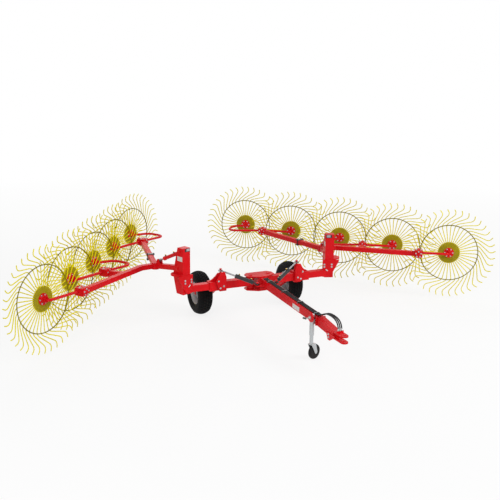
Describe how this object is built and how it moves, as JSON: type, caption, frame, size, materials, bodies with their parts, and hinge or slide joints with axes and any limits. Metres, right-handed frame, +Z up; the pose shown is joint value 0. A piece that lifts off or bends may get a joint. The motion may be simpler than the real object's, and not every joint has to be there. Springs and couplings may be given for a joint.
{
  "type": "carted wheel rake",
  "caption": "Towed V-shaped hay rake: tongue with jack and clevis hitch, hydraulic wing arms on tyres, masts and lifting toolbars with bent-tine wheels on looped arms.",
  "frame": {"origin": "on the floor under the middle of the machine's overall box", "axes": "+Z up, the hitch and the direction of travel along -Y, +X to the machine's left"},
  "size_m": [7.43, 5.733, 1.4495],
  "materials": {
    "red_paint": "gloss powder coat",
    "yellow_paint": "gloss powder coat on spring wire",
    "black_paint": "satin",
    "rim_paint": "silver grey paint",
    "chrome": "polished rod",
    "galvanised": "zinc plated",
    "tyre": "moulded rubber",
    "caster_rubber": "solid rubber",
    "hose_rubber": "braided hose cover"
  },
  "bodies": {
    "chassis": {"centre_frame": "red_paint", "tongue": "red_paint", "hitch": "red_paint", "jack_sleeve": "galvanised", "hoses": "hose_rubber"},
    "jack_leg": {"jack_leg": "galvanised"},
    "caster_fork": {"caster_fork": "galvanised"},
    "caster_wheel": {"caster_wheel": "caster_rubber"},
    "wing_left": {"wing_arm_left": "red_paint", "wing_sleeve_left": "red_paint", "mast_left": "red_paint", "wheel_leg_left": "red_paint"},
    "ground_wheel_left": {"tyre_left": "tyre", "rim_left": "rim_paint"},
    "bank_left": {"toolbar_left": "red_paint", "wheel_arms_left": "red_paint"},
    "wing_barrel_left": {"wing_barrel_left": "black_paint"},
    "wing_rod_left": {"wing_rod_left": "chrome"},
    "lift_barrel_left": {"lift_barrel_left": "red_paint"},
    "lift_rod_left": {"lift_rod_left": "chrome"},
    "rake_wheel_1_left": {"tine_wheel_1_left": "yellow_paint", "wheel_hub_1_left": "red_paint"},
    "rake_wheel_2_left": {"tine_wheel_2_left": "yellow_paint", "wheel_hub_2_left": "red_paint"},
    "rake_wheel_3_left": {"tine_wheel_3_left": "yellow_paint", "wheel_hub_3_left": "red_paint"},
    "rake_wheel_4_left": {"tine_wheel_4_left": "yellow_paint", "wheel_hub_4_left": "red_paint"},
    "rake_wheel_5_left": {"tine_wheel_5_left": "yellow_paint", "wheel_hub_5_left": "red_paint"},
    "wing_right": {"wing_arm_right": "red_paint", "wing_sleeve_right": "red_paint", "mast_right": "red_paint", "wheel_leg_right": "red_paint"},
    "ground_wheel_right": {"tyre_right": "tyre", "rim_right": "rim_paint"},
    "bank_right": {"toolbar_right": "red_paint", "wheel_arms_right": "red_paint"},
    "wing_barrel_right": {"wing_barrel_right": "black_paint"},
    "wing_rod_right": {"wing_rod_right": "chrome"},
    "lift_barrel_right": {"lift_barrel_right": "red_paint"},
    "lift_rod_right": {"lift_rod_right": "chrome"},
    "rake_wheel_1_right": {"tine_wheel_1_right": "yellow_paint", "wheel_hub_1_right": "red_paint"},
    "rake_wheel_2_right": {"tine_wheel_2_right": "yellow_paint", "wheel_hub_2_right": "red_paint"},
    "rake_wheel_3_right": {"tine_wheel_3_right": "yellow_paint", "wheel_hub_3_right": "red_paint"},
    "rake_wheel_4_right": {"tine_wheel_4_right": "yellow_paint", "wheel_hub_4_right": "red_paint"},
    "rake_wheel_5_right": {"tine_wheel_5_right": "yellow_paint", "wheel_hub_5_right": "red_paint"}
  },
  "joints": [
    {"name": "jack_slide", "type": "slide", "parent": "chassis", "child": "jack_leg", "axis": [0, 0, 1], "range_m": [0, 0.11]},
    {"name": "caster_swivel", "type": "hinge", "parent": "jack_leg", "child": "caster_fork", "pos_m": [-0.092, -2.19, 0.218], "axis": [0, 0, 1], "continuous": true},
    {"name": "caster_spin", "type": "hinge", "parent": "caster_fork", "child": "caster_wheel", "pos_m": [-0.03309, -2.16499, 0.098], "axis": [-0.3907, 0.9205, 0], "continuous": true},
    {"name": "wing_swing_left", "type": "hinge", "parent": "chassis", "child": "wing_left", "pos_m": [0.14, -0.43, 0.562], "axis": [0, 0, -1], "range_deg": [0, 30]},
    {"name": "ground_spin_left", "type": "hinge", "parent": "wing_left", "child": "ground_wheel_left", "pos_m": [0.741, 0.051, 0.322], "axis": [1, 0, 0], "continuous": true},
    {"name": "bank_lift_left", "type": "hinge", "parent": "wing_left", "child": "bank_left", "pos_m": [1.17368, -0.36741, 0.85], "axis": [0.9397, -0.342, 0], "range_deg": [0, 18]},
    {"name": "wing_barrel_pivot_left", "type": "hinge", "parent": "chassis", "child": "wing_barrel_left", "pos_m": [0.15, -0.69, 0.59], "axis": [0.2364, -0.1585, -0.9586], "range_deg": [-1, 25.61]},
    {"name": "wing_rod_slide_left", "type": "slide", "parent": "wing_barrel_left", "child": "wing_rod_left", "axis": [-0.8206, -0.4699, -0.3253], "range_m": [-0.002, 0.126]},
    {"name": "lift_barrel_pivot_left", "type": "hinge", "parent": "wing_left", "child": "lift_barrel_left", "pos_m": [1.15829, -0.4097, 1.098], "axis": [0.9397, -0.342, 0], "range_deg": [-1, 15.15]},
    {"name": "lift_rod_slide_left", "type": "slide", "parent": "lift_barrel_left", "child": "lift_rod_left", "axis": [-0.312, -0.8571, 0.41], "range_m": [-0.002, 0.07204]},
    {"name": "rake_spin_1_left", "type": "hinge", "parent": "bank_left", "child": "rake_wheel_1_left", "pos_m": [3.14, -0.745, 0.75], "axis": [-0.5736, -0.8192, 0], "continuous": true},
    {"name": "rake_spin_2_left", "type": "hinge", "parent": "bank_left", "child": "rake_wheel_2_left", "pos_m": [2.62596, 0.05685, 0.739], "axis": [-0.5736, -0.8192, 0], "continuous": true},
    {"name": "rake_spin_3_left", "type": "hinge", "parent": "bank_left", "child": "rake_wheel_3_left", "pos_m": [2.11192, 0.85871, 0.728], "axis": [-0.5736, -0.8192, 0], "continuous": true},
    {"name": "rake_spin_4_left", "type": "hinge", "parent": "bank_left", "child": "rake_wheel_4_left", "pos_m": [1.59788, 1.66056, 0.717], "axis": [-0.5736, -0.8192, 0], "continuous": true},
    {"name": "rake_spin_5_left", "type": "hinge", "parent": "bank_left", "child": "rake_wheel_5_left", "pos_m": [1.08385, 2.46242, 0.706], "axis": [-0.5736, -0.8192, 0], "continuous": true},
    {"name": "wing_swing_right", "type": "hinge", "parent": "chassis", "child": "wing_right", "pos_m": [-0.14, -0.43, 0.562], "axis": [0, 0, 1], "range_deg": [0, 30]},
    {"name": "ground_spin_right", "type": "hinge", "parent": "wing_right", "child": "ground_wheel_right", "pos_m": [-0.741, 0.051, 0.322], "axis": [1, 0, 0], "continuous": true},
    {"name": "bank_lift_right", "type": "hinge", "parent": "wing_right", "child": "bank_right", "pos_m": [-1.17368, -0.36741, 0.85], "axis": [0.9397, 0.342, 0], "range_deg": [0, 18]},
    {"name": "wing_barrel_pivot_right", "type": "hinge", "parent": "chassis", "child": "wing_barrel_right", "pos_m": [-0.15, -0.69, 0.59], "axis": [0.2364, 0.1585, 0.9586], "range_deg": [-1, 25.61]},
    {"name": "wing_rod_slide_right", "type": "slide", "parent": "wing_barrel_right", "child": "wing_rod_right", "axis": [0.8206, -0.4699, -0.3253], "range_m": [-0.002, 0.126]},
    {"name": "lift_barrel_pivot_right", "type": "hinge", "parent": "wing_right", "child": "lift_barrel_right", "pos_m": [-1.15829, -0.4097, 1.098], "axis": [0.9397, 0.342, 0], "range_deg": [-1, 15.15]},
    {"name": "lift_rod_slide_right", "type": "slide", "parent": "lift_barrel_right", "child": "lift_rod_right", "axis": [0.312, -0.8571, 0.41], "range_m": [-0.002, 0.07204]},
    {"name": "rake_spin_1_right", "type": "hinge", "parent": "bank_right", "child": "rake_wheel_1_right", "pos_m": [-3.14, -0.745, 0.75], "axis": [-0.5736, 0.8192, 0], "continuous": true},
    {"name": "rake_spin_2_right", "type": "hinge", "parent": "bank_right", "child": "rake_wheel_2_right", "pos_m": [-2.62596, 0.05685, 0.739], "axis": [-0.5736, 0.8192, 0], "continuous": true},
    {"name": "rake_spin_3_right", "type": "hinge", "parent": "bank_right", "child": "rake_wheel_3_right", "pos_m": [-2.11192, 0.85871, 0.728], "axis": [-0.5736, 0.8192, 0], "continuous": true},
    {"name": "rake_spin_4_right", "type": "hinge", "parent": "bank_right", "child": "rake_wheel_4_right", "pos_m": [-1.59788, 1.66056, 0.717], "axis": [-0.5736, 0.8192, 0], "continuous": true},
    {"name": "rake_spin_5_right", "type": "hinge", "parent": "bank_right", "child": "rake_wheel_5_right", "pos_m": [-1.08385, 2.46242, 0.706], "axis": [-0.5736, 0.8192, 0], "continuous": true}
  ],
  "couplings": [
    {"joint": "wing_barrel_pivot_left", "follows": "wing_swing_left", "ratio": 0.82031},
    {"joint": "wing_rod_slide_left", "follows": "wing_swing_left", "m_per_rad": 0.23683},
    {"joint": "lift_barrel_pivot_left", "follows": "bank_lift_left", "ratio": 0.78617},
    {"joint": "lift_rod_slide_left", "follows": "bank_lift_left", "m_per_rad": 0.22295},
    {"joint": "wing_barrel_pivot_right", "follows": "wing_swing_right", "ratio": 0.82031},
    {"joint": "wing_rod_slide_right", "follows": "wing_swing_right", "m_per_rad": 0.23683},
    {"joint": "lift_barrel_pivot_right", "follows": "bank_lift_right", "ratio": 0.78617},
    {"joint": "lift_rod_slide_right", "follows": "bank_lift_right", "m_per_rad": 0.22295}
  ]
}
